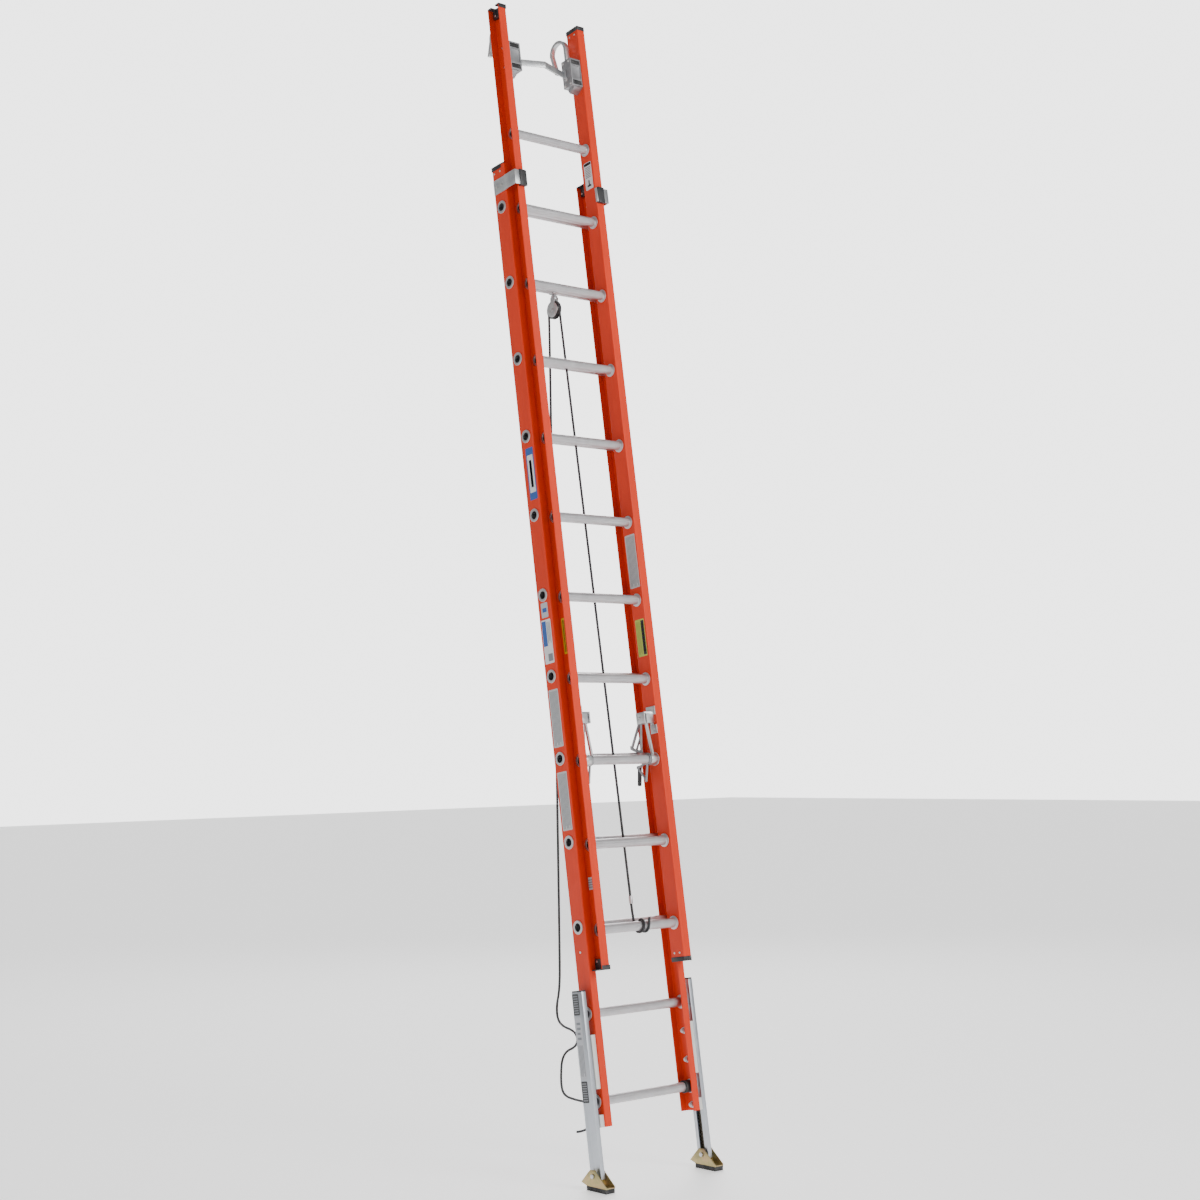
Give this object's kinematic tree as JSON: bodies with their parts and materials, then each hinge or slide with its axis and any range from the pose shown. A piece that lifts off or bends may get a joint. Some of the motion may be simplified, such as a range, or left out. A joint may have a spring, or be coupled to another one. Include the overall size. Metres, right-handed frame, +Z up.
{
  "type": "extension ladder",
  "caption": "Fibreglass extension ladder standing open, with a sliding fly section, rung locks, rope and pulley, cable hooks and leg levelers.",
  "frame": {"origin": "on the floor, under the middle of the ladder's footprint box", "axes": "+Z up; +X to the ladder's right as a climber faces it; +Y from the climber to the wall that the ladder leans towards"},
  "size_m": [0.575, 0.7216, 4.4334],
  "materials": {
    "fibreglass": "pultruded fibreglass, orange red, satin",
    "rung_aluminium": "ribbed extruded aluminium",
    "leg_aluminium": "anodised extrusion, satin",
    "zinc_steel": "zinc plated steel",
    "cast_metal": "sand cast aluminium, tumbled",
    "rivet_steel": "steel rivets",
    "gold_zinc": "yellow zinc plate",
    "dark_steel": "blackened spring steel",
    "black_plastic": "moulded nylon",
    "pale_plastic": "moulded acetal guide",
    "black_rubber": "moulded rubber",
    "rope_fibre": "braided polyester rope"
  },
  "bodies": {
    "base": {"base_rail_left": "fibreglass", "base_rail_right": "fibreglass", "base_rungs_01_03": "rung_aluminium", "base_rungs_04_06": "rung_aluminium", "base_rungs_07_09": "rung_aluminium", "base_rungs_10_12": "rung_aluminium", "rung_sleeves": "black_rubber", "base_top_caps": "black_plastic", "guide_brackets": "zinc_steel", "guide_pads": "black_plastic", "leveler_guide_left": "pale_plastic", "leveler_guide_right": "pale_plastic", "leveler_bolts": "zinc_steel", "base_rivets": "rivet_steel", "pulley_clamp": "zinc_steel", "pulley_block": "zinc_steel", "pulley_pins": "zinc_steel", "rope_free": "rope_fibre"},
    "fly": {"fly_rail_left": "fibreglass", "fly_rail_right": "fibreglass", "fly_rungs_01_03": "rung_aluminium", "fly_rungs_04_06": "rung_aluminium", "fly_rungs_07_09": "rung_aluminium", "fly_rungs_10_11": "rung_aluminium", "fly_top_caps": "black_plastic", "fly_foot_caps": "black_plastic", "hook_block_left": "cast_metal", "hook_block_right": "cast_metal", "v_rung": "zinc_steel", "v_rung_grip": "black_rubber", "lock_bracket_left": "zinc_steel", "lock_bracket_right": "zinc_steel", "lock_pins": "zinc_steel", "fly_rivets": "rivet_steel", "rope_hauling": "rope_fibre", "rope_ferrule": "rung_aluminium", "rope_tie": "rope_fibre"},
    "leg_left": {"leg_left": "leg_aluminium", "leg_cap_left": "black_plastic", "leg_rack_left": "dark_steel", "shoe_pin_left": "zinc_steel"},
    "shoe_left": {"shoe_left": "gold_zinc", "shoe_pad_left": "black_rubber"},
    "pawl_left": {"leveler_pawl_left": "dark_steel"},
    "lock_hook_left": {"lock_hook_left": "cast_metal"},
    "lock_lever_left": {"lock_lever_left": "cast_metal"},
    "lock_finger_left": {"lock_finger_left": "black_plastic"},
    "cable_hook_left": {"cable_hook_left": "zinc_steel"},
    "leg_right": {"leg_right": "leg_aluminium", "leg_cap_right": "black_plastic", "leg_rack_right": "dark_steel", "shoe_pin_right": "zinc_steel"},
    "shoe_right": {"shoe_right": "gold_zinc", "shoe_pad_right": "black_rubber"},
    "pawl_right": {"leveler_pawl_right": "dark_steel"},
    "lock_hook_right": {"lock_hook_right": "cast_metal"},
    "lock_lever_right": {"lock_lever_right": "cast_metal"},
    "lock_finger_right": {"lock_finger_right": "black_plastic"},
    "cable_hook_right": {"cable_hook_right": "zinc_steel"},
    "sheave": {"pulley_sheave": "black_plastic"}
  },
  "joints": [
    {"name": "fly_slide", "type": "slide", "parent": "base", "child": "fly", "axis": [0, 0.1392, 0.9903], "range_m": [-0.6096, 2.1336], "deforming": ["rope_hauling"]},
    {"name": "leg_slide_left", "type": "slide", "parent": "base", "child": "leg_left", "axis": [0, 0.1392, 0.9903], "range_m": [-0.08, 0.1]},
    {"name": "shoe_pivot_left", "type": "hinge", "parent": "leg_left", "child": "shoe_left", "pos_m": [-0.262, -0.28877, 0.052], "axis": [1, 0, 0], "range_deg": [-35, 60]},
    {"name": "pawl_pivot_left", "type": "hinge", "parent": "base", "child": "pawl_left", "pos_m": [-0.252, -0.22108, 0.53368], "axis": [0, 0.9903, -0.1392], "range_deg": [0, 20], "stiffness_Nm_per_rad": 0.05, "springref_deg": -11.46},
    {"name": "lock_hook_pivot_left", "type": "hinge", "parent": "fly", "child": "lock_hook_left", "pos_m": [-0.141, -0.11441, 1.65192], "axis": [-1, 0, 0], "range_deg": [0, 25]},
    {"name": "lock_lever_pivot_left", "type": "hinge", "parent": "fly", "child": "lock_lever_left", "pos_m": [-0.141, -0.14616, 1.49784], "axis": [-1, 0, 0], "range_deg": [0, 60]},
    {"name": "lock_finger_pivot_left", "type": "hinge", "parent": "lock_lever_left", "child": "lock_finger_left", "pos_m": [-0.1485, -0.09617, 1.46557], "axis": [-1, 0, 0], "range_deg": [-20, 40]},
    {"name": "cable_hook_swivel_left", "type": "hinge", "parent": "fly", "child": "cable_hook_left", "pos_m": [-0.154, 0.25767, 4.25992], "axis": [0, -0.1392, -0.9903], "range_deg": [0, 90]},
    {"name": "leg_slide_right", "type": "slide", "parent": "base", "child": "leg_right", "axis": [0, 0.1392, 0.9903], "range_m": [-0.08, 0.1]},
    {"name": "shoe_pivot_right", "type": "hinge", "parent": "leg_right", "child": "shoe_right", "pos_m": [0.262, -0.28877, 0.052], "axis": [1, 0, 0], "range_deg": [-35, 60]},
    {"name": "pawl_pivot_right", "type": "hinge", "parent": "base", "child": "pawl_right", "pos_m": [0.252, -0.22108, 0.53368], "axis": [0, -0.9903, 0.1392], "range_deg": [0, 20], "stiffness_Nm_per_rad": 0.05, "springref_deg": -11.46},
    {"name": "lock_hook_pivot_right", "type": "hinge", "parent": "fly", "child": "lock_hook_right", "pos_m": [0.141, -0.11441, 1.65192], "axis": [-1, 0, 0], "range_deg": [0, 25]},
    {"name": "lock_lever_pivot_right", "type": "hinge", "parent": "fly", "child": "lock_lever_right", "pos_m": [0.141, -0.14616, 1.49784], "axis": [-1, 0, 0], "range_deg": [0, 60]},
    {"name": "lock_finger_pivot_right", "type": "hinge", "parent": "lock_lever_right", "child": "lock_finger_right", "pos_m": [0.1485, -0.09617, 1.46557], "axis": [-1, 0, 0], "range_deg": [-20, 40]},
    {"name": "cable_hook_swivel_right", "type": "hinge", "parent": "fly", "child": "cable_hook_right", "pos_m": [0.154, 0.25767, 4.25992], "axis": [0, 0.1392, 0.9903], "range_deg": [0, 90]},
    {"name": "sheave_spin", "type": "hinge", "parent": "base", "child": "sheave", "pos_m": [-0.014, 0.16756, 3.23791], "axis": [1, 0, 0], "continuous": true}
  ]
}
